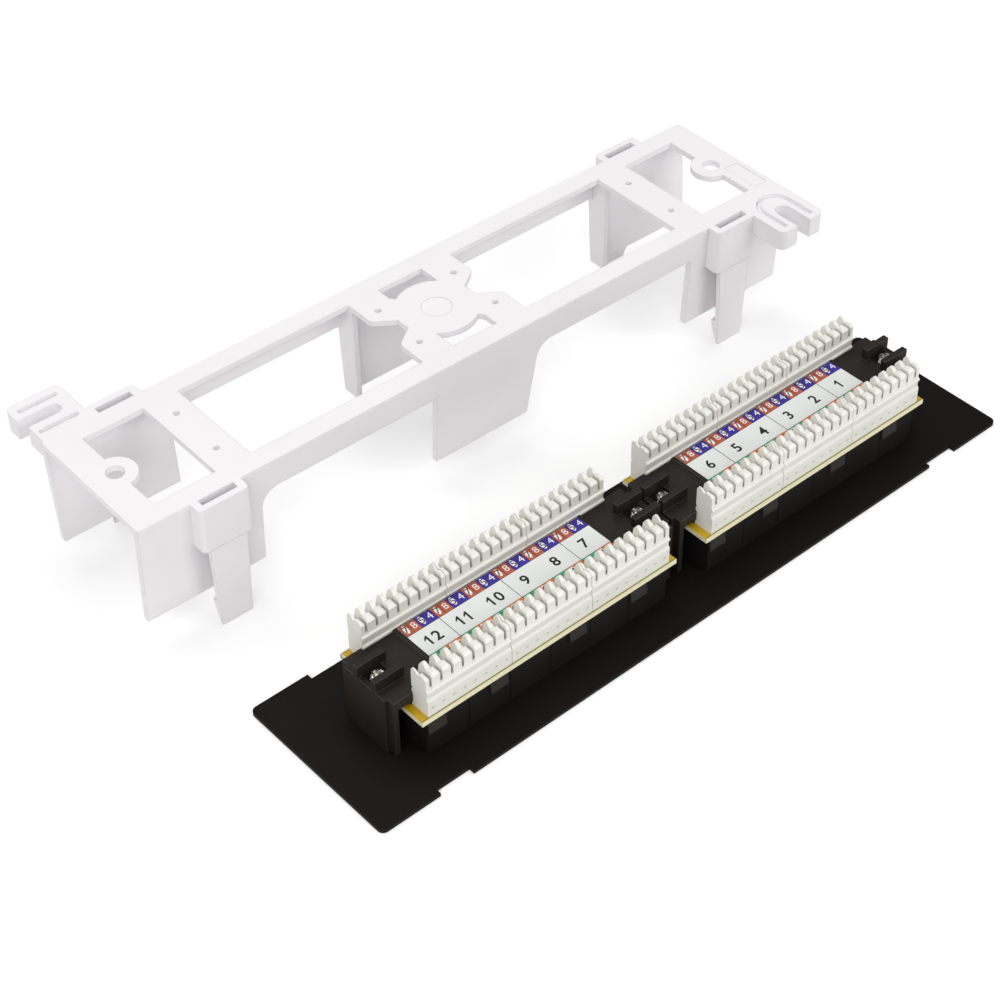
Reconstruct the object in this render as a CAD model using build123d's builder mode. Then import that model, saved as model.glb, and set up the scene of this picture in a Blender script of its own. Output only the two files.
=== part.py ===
from build123d import *
import os

# Vertical patch panel: twelve sockets in two six-port modules on a steel face plate,
# with its clip-on stand-off bracket unclipped and standing behind it.
# The panel lies on its face plate, punch-down side up. Origin: middle of the plate's front face.

# Face plate
PLATE_LENGTH = 254.0
PLATE_WIDTH = 59.2
PLATE_THICKNESS = 1.2
PLATE_CORNER = 2.0
NOTCH_CENTRE = 100.5
NOTCH_LENGTH = 11.9
NOTCH_DEPTH = 2.0

# Modules: every length along a module follows from the pitch of its contacts
MODULE_SIDES = (-1, 1)
PORTS = 6
CONTACTS = 8
CONTACT_PITCH = 3.81
ROW_BLOCKS = 3
BLOCK_LENGTH = CONTACTS * CONTACT_PITCH
HALF_ROW = ROW_BLOCKS * BLOCK_LENGTH / 2
PORT_PITCH = 2 * HALF_ROW / PORTS
COVER_OVERHANG = 8.03
COVER_HALF_LENGTH = HALF_ROW + COVER_OVERHANG
MODULE_GAP = 1.1
MODULE_CENTRE = COVER_HALF_LENGTH + MODULE_GAP / 2

# Circuit board
BOARD_OVERHANG = 2.43
BOARD_LENGTH = 2 * (HALF_ROW + BOARD_OVERHANG)
BOARD_WIDTH = 35.6
BOARD_THICKNESS = 1.6
BOARD_TOP = 16.5
BOARD_BOTTOM = BOARD_TOP - BOARD_THICKNESS
BOARD_NOTCH_WIDTH = 6.6
BOARD_NOTCH_DEPTH = 2.6

# Sockets
JACK_GAP = 0.24
JACK_WIDTH = PORT_PITCH - JACK_GAP
JACK_DEPTH = 20.0
JACK_CENTRE_Y = -6.4
JACK_HEIGHT = BOARD_BOTTOM - PLATE_THICKNESS
NOSE_SHOULDER = 0.6
NOSE_WIDTH = JACK_WIDTH - 2 * NOSE_SHOULDER
NOSE_DEPTH = 14.2
PANEL_CLEARANCE = 0.1
MOUTH_WALL = 1.05
MOUTH_WIDTH = NOSE_WIDTH - 2 * MOUTH_WALL
MOUTH_HEIGHT = 6.8
MOUTH_DEPTH = 12.4
LATCH_WIDTH = 6.4
LATCH_NARROW = 4.2
LATCH_STEP = 1.5
LUG_WIDTH = 6.4
LUG_LOW = 9.4
LUG_HIGH = 13.4
LUG_REACH = 1.1
LUG_OFFSETS = {0: -4.3, 1: 3.0, 3: 2.3, 5: -4.3}
WIRES = 8
WIRE_PITCH = 1.02
WIRE_WIDTH = 0.4
WIRE_THICKNESS = 0.35
WIRE_START = 2.2
WIRE_END = 11.2
WIRE_END_Y = 0.4

# Punch-down blocks: peaks on one side, flat teeth on the other
BLOCK_GAP = 0.2
BLOCK_DEPTH = 6.8
BLOCK_HEIGHT = 14.9
BLOCK_INNER = 10.4
SLOT_WIDTH = 0.8
LOBE_SPLIT = 2.9
PEAK_TIP = 0.6
PEAK_SHOULDER = 10.4
PEAK_FLOOR = 8.5
TOOTH_TOP = 14.45
TOOTH_TIP = 0.9
TOOTH_SHOULDER = 13.9
TOOTH_FLOOR = 10.5
POCKET_WIDTH = 3.0
POCKET_DEPTH = 0.6
POCKET_HEIGHT = 12.4
POCKET_Y = 3.5

# Metal clips in the blocks
CLIP_CLEARANCE = 0.15
CLIP_WIDTH = POCKET_WIDTH - 2 * CLIP_CLEARANCE
CLIP_THICKNESS = 0.5
CLIP_TOP = 12.2
CLIP_SLIT = 0.4
CLIP_SLIT_FLOOR = 6.0

# Cover between the rows
COVER_TOP = 22.0
COVER_SLAB = 2.5
COVER_HALF_WIDTH = 10.2
COVER_END_HALF_WIDTH = 11.2
COVER_END_LENGTH = 7.75
COVER_END_START = COVER_HALF_LENGTH - COVER_END_LENGTH
COVER_END_LAP = 0.2
COVER_CORNER_STEP = 1.1
COVER_MIDDLE_HALF = 8.6
END_SLAB_BOTTOM = 18.6
COVER_WALL = 1.6
LABEL_PAD = 0.7
LABEL_PAD_HALF_LENGTH = 35.5
LABEL_HALF_LENGTH = 34.2
LABEL_HALF_WIDTH = 9.8
LABEL_THICKNESS = 0.15
FIN_HEIGHT = 4.0
FIN_INNER = 2.9
FIN_THICKNESS = 2.0
FIN_LENGTH = 10.05
FIN_START = COVER_HALF_LENGTH - FIN_LENGTH
PIT_FLOOR = 20.6
PIT_LENGTH = 8.15
PIT_START = COVER_HALF_LENGTH - PIT_LENGTH
SCREW_INSET = 4.65
SCREW_X = COVER_HALF_LENGTH - SCREW_INSET

# Screws and posts
SCREW_HEAD_RADIUS = 2.7
SCREW_HEAD_HEIGHT = 2.1
SCREW_HEAD_SIDE = 0.9
SCREW_CROWN_RADIUS = 1.9
SCREW_RADIUS = 1.45
SCREW_LENGTH = 9.0
SCREW_HOLE_RADIUS = 1.7
RECESS_WIDTH = 0.9
RECESS_LENGTH = 3.0
RECESS_DEPTH = 1.3
POST_RADIUS = 2.7
POST_SIDES = 6
POST_BORE_RADIUS = 1.5
POST_BORE_DEPTH = 11.0

# Bracket: places along it are insets from its end
BRACKET_X = -5.35
BRACKET_Y = 90.25
BRACKET_TURN = -1.04
BRACKET_LENGTH = 254.0
BRACKET_END = BRACKET_LENGTH / 2
BRACKET_HALF_WIDTH = 25.4
BRACKET_HEIGHT = 47.0
BRACKET_TOP_THICKNESS = 2.0
BRACKET_CORNER = 1.6
RAIL_WIDTH = 6.9
WALL_THICKNESS = 2.2
WALL_LEAN = 2.0
WALL_BOTTOM = 10.4
WEB_BOTTOM = 36.8
END_LEG_LENGTH = 41.5
END_WALL_INNER = BRACKET_END - END_LEG_LENGTH
LEG_HALF = 20.3
LEG_TAPER = 4.0
LEG_ROUND = 6.0
LEG_CORNER = 1.2
FLANGE_DEPTH = 6.5
FLANGE_THICKNESS = 1.8
END_RAIL = 10.0
END_WINDOW_LENGTH = 21.0
END_WINDOW_OUT = BRACKET_END - END_RAIL
END_WINDOW_IN = END_WINDOW_OUT - END_WINDOW_LENGTH
CROSS_RAIL_WIDTH = 12.2
CROSS_RAIL_X = END_WINDOW_IN - CROSS_RAIL_WIDTH / 2
LONG_WINDOW_OUT = END_WINDOW_IN - CROSS_RAIL_WIDTH
WINDOW_HALF = BRACKET_HALF_WIDTH - RAIL_WIDTH
BOSS_INSET = 9.2
BOSS_X = BRACKET_END - BOSS_INSET
BOSS_RADIUS = 6.8
BOSS_HOLE_RADIUS = 2.85
PILOT_RADIUS = 1.0
PILOT_Y = 10.2
SPIDER_PILOT_X = 15.05
SPIDER_HALF = 20.3
SPIDER_WAIST = 13.1
SPIDER_WAIST_HALF = 2.4
SPIDER_PAD_EDGE = 7.4
SPIDER_ROUND = 2.6
SPIDER_DISC = 13.4
CENTRE_WINDOW_HALF = 8.6
CENTRE_WINDOW_START = 10.0
CENTRE_WINDOW_CUT = (2.2, 2.9)
HUB_RADIUS = 4.9
HUB_RECESS = 0.3
MARK_LENGTH = 5.4
MARK_WIDTH = 14.0
MARK_INSET = 4.4
MARK_Y = -11.5
MARK_RECESS = 0.25

# Arms that clip over the panel
ARM_INSET = 26.1
ARM_X = BRACKET_END - ARM_INSET
LOOP_WIDTH = 17.3
LOOP_BOTTOM = 31.0
LOOP_FACE = 30.0
LOOP_CORNER = 1.5
LOOP_SLOT_LENGTH = 12.0
LOOP_SLOT_WIDTH = 2.4
ARM_TOP_WIDTH = 13.0
ARM_TIP_WIDTH = 10.6
ARM_OUTER = 29.7
ARM_INNER = 28.0
ARM_ROOT = LOOP_BOTTOM + 0.5
HOOK_TOP = 9.0
HOOK_REACH = 26.2
HOOK_NOSE = 7.6
HOOK_TIP = (0.3, 0.9)

# Ears
EAR_THICKNESS = 7.0
EAR_ROOT = BRACKET_HALF_WIDTH - WALL_THICKNESS
EAR_CORNER = 2.5
GROOVE_WIDTH = 1.6
GROOVE_DEPTH = 1.2
GROOVE_INSET = 2.4
LEFT_EAR_OUT = -BRACKET_END - 0.4
LEFT_EAR_STEP = 1.2
LEFT_EAR_LENGTH = 18.4
LEFT_EAR_Y = 45.0
LEFT_SLOT_Y = 35.5
LEFT_SLOT_WIDTH = 4.4
LEFT_SLOT_LENGTH = 13.7
LEFT_GROOVES = (-6.2, 5.7)
LEFT_GROOVE_LENGTH = 13.4
RIGHT_EAR_LENGTH = 19.0
RIGHT_EAR_Y = -43.4
RIGHT_SLOT_X = BRACKET_END - RIGHT_EAR_LENGTH / 2
RIGHT_SLOT_WIDTH = 5.6
RIGHT_SLOT_ROOT = -31.4
RIGHT_GROOVE_OFFSET = 5.7
RIGHT_GROOVE_ROOT = -30.7

os.makedirs("parts", exist_ok=True)


def keep(part, name, place=Location()):
    """Write one piece, set down at its place, as a file with the piece's name."""
    piece = part.moved(place)
    piece.label = name
    export_step(piece, f"parts/{name}.step")


def port_x(side, port):
    """Middle of a socket, counted from the left within its module."""
    return side * MODULE_CENTRE + (port - (PORTS - 1) / 2) * PORT_PITCH


# Face plate: a flat steel sheet with twelve openings and four notches in its long edges
with BuildPart() as face_plate:
    with BuildSketch():
        RectangleRounded(PLATE_LENGTH, PLATE_WIDTH, PLATE_CORNER)
        with Locations(
            [(x, y) for x in (-NOTCH_CENTRE, NOTCH_CENTRE) for y in (-PLATE_WIDTH / 2, PLATE_WIDTH / 2)]
        ):
            Rectangle(NOTCH_LENGTH, 2 * NOTCH_DEPTH, mode=Mode.SUBTRACT)
        with Locations([(port_x(side, port), JACK_CENTRE_Y) for side in MODULE_SIDES for port in range(PORTS)]):
            Rectangle(
                NOSE_WIDTH + 2 * PANEL_CLEARANCE, NOSE_DEPTH + 2 * PANEL_CLEARANCE, mode=Mode.SUBTRACT
            )
    extrude(amount=PLATE_THICKNESS)
keep(face_plate.part, "face_plate")

# Six-sided threaded posts that carry the two modules
with BuildPart() as post_builder:
    with BuildSketch(Plane.XY.offset(PLATE_THICKNESS)):
        with Locations(
            [(side * MODULE_CENTRE + end * SCREW_X, 0) for side in MODULE_SIDES for end in (-1, 1)]
        ):
            RegularPolygon(POST_RADIUS, POST_SIDES)
    extrude(amount=END_SLAB_BOTTOM - PLATE_THICKNESS)
    with BuildSketch(Plane.XY.offset(END_SLAB_BOTTOM)):
        with Locations(
            [(side * MODULE_CENTRE + end * SCREW_X, 0) for side in MODULE_SIDES for end in (-1, 1)]
        ):
            Circle(POST_BORE_RADIUS)
    extrude(amount=-POST_BORE_DEPTH, mode=Mode.SUBTRACT)
keep(post_builder.part, "module_posts")

# Pan-head cross-recess screws, one into each post
with BuildPart() as screw_builder:
    with BuildSketch(Plane.XZ):
        with BuildLine():
            Polyline(
                (0, SCREW_HEAD_HEIGHT),
                (SCREW_CROWN_RADIUS, SCREW_HEAD_HEIGHT),
                (SCREW_HEAD_RADIUS, SCREW_HEAD_SIDE),
                (SCREW_HEAD_RADIUS, 0),
                (SCREW_RADIUS, 0),
                (SCREW_RADIUS, -SCREW_LENGTH),
                (0, -SCREW_LENGTH),
                close=True,
            )
        make_face()
    revolve(axis=Axis.Z)
    with BuildSketch(Plane.XY.offset(SCREW_HEAD_HEIGHT)):
        Rectangle(RECESS_LENGTH, RECESS_WIDTH)
        Rectangle(RECESS_WIDTH, RECESS_LENGTH)
    extrude(amount=-RECESS_DEPTH, mode=Mode.SUBTRACT)
with BuildPart() as screw_set:
    with Locations(
        [(side * MODULE_CENTRE + end * SCREW_X, 0, PIT_FLOOR) for side in MODULE_SIDES for end in (-1, 1)]
    ):
        add(screw_builder.part)
keep(screw_set.part, "module_screws")

# Socket housing: a black box with a stepped mouth that passes through the plate
mouth_top = MOUTH_HEIGHT / 2 + LATCH_STEP
with BuildPart() as jack_builder:
    with BuildSketch(Plane.XY.offset(PLATE_THICKNESS)):
        Rectangle(JACK_WIDTH, JACK_DEPTH)
    extrude(amount=JACK_HEIGHT)
    with BuildSketch():
        Rectangle(NOSE_WIDTH, NOSE_DEPTH)
    extrude(amount=PLATE_THICKNESS)
    with BuildSketch():
        with Locations((0, LATCH_STEP)):
            Rectangle(MOUTH_WIDTH, MOUTH_HEIGHT)
        with Locations((0, LATCH_STEP - MOUTH_HEIGHT / 2)):
            Rectangle(LATCH_WIDTH, LATCH_STEP, align=(Align.CENTER, Align.MAX))
            Rectangle(LATCH_NARROW, 2 * LATCH_STEP, align=(Align.CENTER, Align.MAX))
    extrude(amount=MOUTH_DEPTH, mode=Mode.SUBTRACT)

# Lug that some housings carry under the board's front edge
with BuildPart() as lug_builder:
    with BuildSketch(Plane.YZ):
        Polygon(
            (-JACK_DEPTH / 2, LUG_LOW),
            (-JACK_DEPTH / 2 - LUG_REACH, LUG_LOW + 0.4),
            (-JACK_DEPTH / 2 - LUG_REACH / 2, LUG_HIGH),
            (-JACK_DEPTH / 2, LUG_HIGH),
            align=None,
        )
    extrude(amount=LUG_WIDTH / 2, both=True)

# Eight spring wires, bent down from the back of the mouth
wire_planes = [Plane.YZ.offset((n - (WIRES - 1) / 2) * WIRE_PITCH) for n in range(WIRES)]
with BuildPart() as wire_builder:
    with BuildSketch(*wire_planes):
        with BuildLine():
            Polyline(
                (mouth_top, WIRE_START),
                (mouth_top, WIRE_START + WIRE_THICKNESS),
                (WIRE_END_Y, WIRE_END),
                (WIRE_END_Y - WIRE_THICKNESS, WIRE_END),
                (mouth_top - WIRE_THICKNESS, WIRE_START),
                close=True,
            )
        make_face()
    extrude(amount=WIRE_WIDTH / 2, both=True)

# The sockets take the numbers printed on the labels, counted from the right
for side in MODULE_SIDES:
    for port in range(PORTS):
        number = (2 if side < 0 else 1) * PORTS - port
        place = Location((port_x(side, port), JACK_CENTRE_Y, 0))
        housing = jack_builder.part
        if port in LUG_OFFSETS:
            housing = housing + lug_builder.part.moved(Location((LUG_OFFSETS[port], 0, 0)))
        keep(housing, f"jack_{number:02d}", place)
        keep(wire_builder.part, f"jack_contacts_{number:02d}", place)

# Circuit board: notched at both ends where the posts pass
with BuildPart() as board_builder:
    with BuildSketch(Plane.XY.offset(BOARD_BOTTOM)):
        Rectangle(BOARD_LENGTH, BOARD_WIDTH)
        with Locations([(-BOARD_LENGTH / 2, 0), (BOARD_LENGTH / 2, 0)]):
            Rectangle(2 * BOARD_NOTCH_DEPTH, BOARD_NOTCH_WIDTH, mode=Mode.SUBTRACT)
    extrude(amount=BOARD_THICKNESS)

corner_y = (COVER_END_HALF_WIDTH + COVER_MIDDLE_HALF - COVER_WALL) / 2

# Cover: a flat-topped black moulding between the rows, with a foot at each end down to the plate
with BuildPart() as cover_builder:
    with BuildSketch(Plane.XY.offset(COVER_TOP - COVER_SLAB)):
        Rectangle(2 * (COVER_END_START + COVER_END_LAP), 2 * COVER_HALF_WIDTH)
    extrude(amount=COVER_SLAB)
    with BuildSketch(Plane.XY.offset(BOARD_TOP)):
        with Locations(
            [(0, COVER_HALF_WIDTH - COVER_WALL / 2), (0, COVER_WALL / 2 - COVER_HALF_WIDTH)]
        ):
            Rectangle(2 * COVER_END_START, COVER_WALL)
    extrude(amount=COVER_TOP - COVER_SLAB - BOARD_TOP)
    with BuildSketch(Plane.XY.offset(COVER_TOP)):
        Rectangle(2 * LABEL_PAD_HALF_LENGTH, 2 * COVER_HALF_WIDTH)
    extrude(amount=LABEL_PAD)
    for end in (-1, 1):
        end_middle = end * (COVER_END_START + COVER_HALF_LENGTH - COVER_CORNER_STEP) / 2
        end_length = COVER_HALF_LENGTH - COVER_CORNER_STEP - COVER_END_START
        with BuildSketch(Plane.XY.offset(END_SLAB_BOTTOM)):
            with Locations((end_middle, 0)):
                Rectangle(end_length, 2 * COVER_END_HALF_WIDTH)
        extrude(amount=COVER_TOP - END_SLAB_BOTTOM)
        with BuildSketch(Plane.XY.offset(PLATE_THICKNESS)):
            corner_x = end * (COVER_HALF_LENGTH - COVER_CORNER_STEP - COVER_WALL / 2)
            with Locations([(corner_x, y) for y in (-corner_y, corner_y)]):
                Rectangle(COVER_WALL, COVER_END_HALF_WIDTH - COVER_MIDDLE_HALF + COVER_WALL)
            with Locations((end * (COVER_HALF_LENGTH - COVER_WALL / 2), 0)):
                Rectangle(COVER_WALL, 2 * COVER_MIDDLE_HALF)
        extrude(amount=COVER_TOP - PLATE_THICKNESS)
        with BuildSketch(Plane.XY.offset(COVER_TOP)):
            with Locations(
                [
                    (end * (FIN_START + COVER_HALF_LENGTH) / 2, FIN_INNER + FIN_THICKNESS / 2),
                    (end * (FIN_START + COVER_HALF_LENGTH) / 2, -FIN_INNER - FIN_THICKNESS / 2),
                ]
            ):
                Rectangle(COVER_HALF_LENGTH - FIN_START, FIN_THICKNESS)
        extrude(amount=FIN_HEIGHT)
        with BuildSketch(Plane.XY.offset(PIT_FLOOR)):
            with Locations((end * (PIT_START + COVER_HALF_LENGTH - COVER_WALL) / 2, 0)):
                Rectangle(COVER_HALF_LENGTH - COVER_WALL - PIT_START, 2 * FIN_INNER)
        extrude(amount=COVER_TOP - PIT_FLOOR, mode=Mode.SUBTRACT)
        with BuildSketch(Plane.XY.offset(END_SLAB_BOTTOM)):
            with Locations((end * SCREW_X, 0)):
                Circle(SCREW_HOLE_RADIUS)
        extrude(amount=COVER_TOP - END_SLAB_BOTTOM, mode=Mode.SUBTRACT)

# Printed label on the raised pad of the cover
with BuildPart() as label_builder:
    with BuildSketch(Plane.XY.offset(COVER_TOP + LABEL_PAD)):
        Rectangle(2 * LABEL_HALF_LENGTH, 2 * LABEL_HALF_WIDTH)
    extrude(amount=LABEL_THICKNESS)

for side, side_name in zip(MODULE_SIDES, ("left", "right")):
    place = Location((side * MODULE_CENTRE, 0, 0))
    keep(board_builder.part, f"circuit_board_{side_name}", place)
    keep(cover_builder.part, f"cover_{side_name}", place)
    keep(label_builder.part, f"label_{side_name}", place)

def notch(slot_x, floor, shoulder, top, tip):
    """Corners of one slot of the comb with its V mouth, open above the block."""
    half_slot = SLOT_WIDTH / 2
    half_mouth = CONTACT_PITCH / 2 - tip
    half = [(half_slot, floor), (half_slot, shoulder), (half_mouth, top), (half_mouth, BLOCK_HEIGHT + 1)]
    return [(slot_x + x, z) for x, z in half] + [(slot_x - x, z) for x, z in reversed(half)]


# Punch-down block: one end view all along, then a comb of sharp peaks cut into its back half
# and a comb of flat teeth into its front half, and a pocket from below for each metal clip
half_block = (BLOCK_LENGTH - BLOCK_GAP) / 2
contact_row = [(n - (CONTACTS - 1) / 2) * CONTACT_PITCH for n in range(CONTACTS)]
with BuildPart() as block_builder:
    with BuildSketch(Plane.YZ):
        Polygon(
            (0, 0),
            (0, 6.6),
            (0.6, 7.1),
            (0, 7.6),
            (0, BLOCK_HEIGHT - 1.0),
            (0.6, BLOCK_HEIGHT - 0.1),
            (1.4, BLOCK_HEIGHT),
            (LOBE_SPLIT, BLOCK_HEIGHT - 1.2),
            (3.6, BLOCK_HEIGHT - 0.6),
            (5.2, BLOCK_HEIGHT - 0.5),
            (6.2, BLOCK_HEIGHT - 1.4),
            (6.2, 9.8),
            (BLOCK_DEPTH, 9.3),
            (BLOCK_DEPTH, 8.7),
            (6.3, 8.3),
            (6.3, 6.3),
            (BLOCK_DEPTH, 5.9),
            (BLOCK_DEPTH, 0),
            align=None,
        )
    extrude(amount=half_block, both=True)
    with BuildSketch(Plane.XZ.offset(-LOBE_SPLIT)):
        for slot_x in contact_row:
            Polygon(*notch(slot_x, PEAK_FLOOR, PEAK_SHOULDER, BLOCK_HEIGHT + 0.05, PEAK_TIP), align=None)
    extrude(amount=LOBE_SPLIT, mode=Mode.SUBTRACT)
    with BuildSketch(Plane.XZ.offset(-BLOCK_DEPTH)):
        for slot_x in contact_row:
            Polygon(*notch(slot_x, TOOTH_FLOOR, TOOTH_SHOULDER, TOOTH_TOP, TOOTH_TIP), align=None)
    extrude(amount=BLOCK_DEPTH - LOBE_SPLIT, mode=Mode.SUBTRACT)
    with BuildSketch():
        with Locations([(x, POCKET_Y) for x in contact_row]):
            Rectangle(POCKET_WIDTH, POCKET_DEPTH)
    extrude(amount=POCKET_HEIGHT, mode=Mode.SUBTRACT)

# Forked metal clip: one in each pocket, standing on the board
with BuildPart() as clip_builder:
    with BuildSketch(Plane.XZ.offset(-POCKET_Y)):
        with Locations([(x, 0) for x in contact_row]):
            Rectangle(CLIP_WIDTH, CLIP_TOP, align=(Align.CENTER, Align.MIN))
        with Locations([(x, CLIP_SLIT_FLOOR) for x in contact_row]):
            Rectangle(
                CLIP_SLIT, CLIP_TOP - CLIP_SLIT_FLOOR, align=(Align.CENTER, Align.MIN), mode=Mode.SUBTRACT
            )
    extrude(amount=CLIP_THICKNESS / 2, both=True)

number = 0
for side in MODULE_SIDES:
    for row in (-1, 1):
        for place_in_row in range(ROW_BLOCKS):
            number += 1
            x = side * MODULE_CENTRE + (place_in_row - (ROW_BLOCKS - 1) / 2) * BLOCK_LENGTH
            peaks_y = BLOCK_INNER + BLOCK_DEPTH if row > 0 else -BLOCK_INNER
            place = Location((x, peaks_y, BOARD_TOP), (0, 0, 180))
            keep(block_builder.part, f"punch_down_block_{number:02d}", place)
            keep(clip_builder.part, f"contact_clips_{number:02d}", place)

# Long wall of the bracket: its end view leans in, its side view gives the legs
leg_top = BRACKET_HEIGHT - BRACKET_TOP_THICKNESS / 2
with BuildPart() as wall_builder:
    with BuildSketch(Plane.YZ):
        Polygon(
            (BRACKET_HALF_WIDTH, leg_top),
            (BRACKET_HALF_WIDTH - WALL_THICKNESS, leg_top),
            (BRACKET_HALF_WIDTH - WALL_THICKNESS - WALL_LEAN, WALL_BOTTOM),
            (BRACKET_HALF_WIDTH - WALL_LEAN, WALL_BOTTOM),
            align=None,
        )
    extrude(amount=BRACKET_LENGTH / 2, both=True)
    with BuildSketch(Plane.XZ.offset(-BRACKET_HALF_WIDTH)):
        with BuildLine():
            FilletPolyline(
                (END_WALL_INNER, WALL_BOTTOM - 1),
                (END_WALL_INNER, WEB_BOTTOM),
                (LEG_HALF, WEB_BOTTOM),
                (LEG_HALF - LEG_TAPER, WALL_BOTTOM - 1),
                radius=(LEG_CORNER, LEG_ROUND),
            )
            Line((LEG_HALF - LEG_TAPER, WALL_BOTTOM - 1), (END_WALL_INNER, WALL_BOTTOM - 1))
        make_face()
        with BuildLine():
            FilletPolyline(
                (-LEG_HALF, WALL_BOTTOM - 1),
                (-LEG_HALF, WEB_BOTTOM),
                (-END_WALL_INNER, WEB_BOTTOM),
                (-END_WALL_INNER, WALL_BOTTOM - 1),
                radius=(LEG_CORNER, LEG_ROUND),
            )
            Line((-END_WALL_INNER, WALL_BOTTOM - 1), (-LEG_HALF, WALL_BOTTOM - 1))
        make_face()
    extrude(amount=2 * BRACKET_HALF_WIDTH, mode=Mode.SUBTRACT)

# Inward flanges down the left edges of the rear wall's centre leg and right leg
with BuildPart() as flange_builder:
    with BuildSketch(Plane.XY.offset(WALL_BOTTOM)):
        with Locations([(-LEG_HALF, EAR_ROOT), (END_WALL_INNER, EAR_ROOT)]):
            Rectangle(FLANGE_THICKNESS, FLANGE_DEPTH, align=(Align.MIN, Align.MAX))
    extrude(amount=leg_top - WALL_BOTTOM)

# One clip arm: a loop that stands out from the wall, and a hooked arm hanging from it
with BuildPart() as arm_builder:
    with BuildSketch(Plane.XY.offset(LOOP_BOTTOM)):
        with Locations((0, BRACKET_HALF_WIDTH - WALL_THICKNESS)):
            Rectangle(
                LOOP_WIDTH, LOOP_FACE - BRACKET_HALF_WIDTH + WALL_THICKNESS, align=(Align.CENTER, Align.MIN)
            )
        fillet(vertices().group_by(Axis.Y)[-1], radius=LOOP_CORNER)
        with Locations((0, BRACKET_HALF_WIDTH)):
            Rectangle(
                LOOP_SLOT_LENGTH, LOOP_SLOT_WIDTH, align=(Align.CENTER, Align.MIN), mode=Mode.SUBTRACT
            )
    extrude(amount=BRACKET_HEIGHT - LOOP_BOTTOM)
with BuildPart() as hook_builder:
    with BuildSketch(Plane.YZ):
        Polygon(
            (ARM_OUTER, ARM_ROOT),
            (ARM_INNER, ARM_ROOT),
            (ARM_INNER, HOOK_TOP),
            (HOOK_REACH, HOOK_TOP),
            (HOOK_REACH, HOOK_NOSE),
            (ARM_OUTER - HOOK_TIP[1], 0),
            (ARM_OUTER - HOOK_TIP[0], 0),
            align=None,
        )
    extrude(amount=ARM_TOP_WIDTH / 2, both=True)
    with BuildSketch(Plane.XZ.offset(-ARM_OUTER)):
        Polygon(
            (-ARM_TIP_WIDTH / 2, 0),
            (ARM_TIP_WIDTH / 2, 0),
            (ARM_TOP_WIDTH / 2, ARM_ROOT),
            (-ARM_TOP_WIDTH / 2, ARM_ROOT),
            align=None,
        )
    extrude(amount=2 * ARM_OUTER, mode=Mode.INTERSECT)

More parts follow.
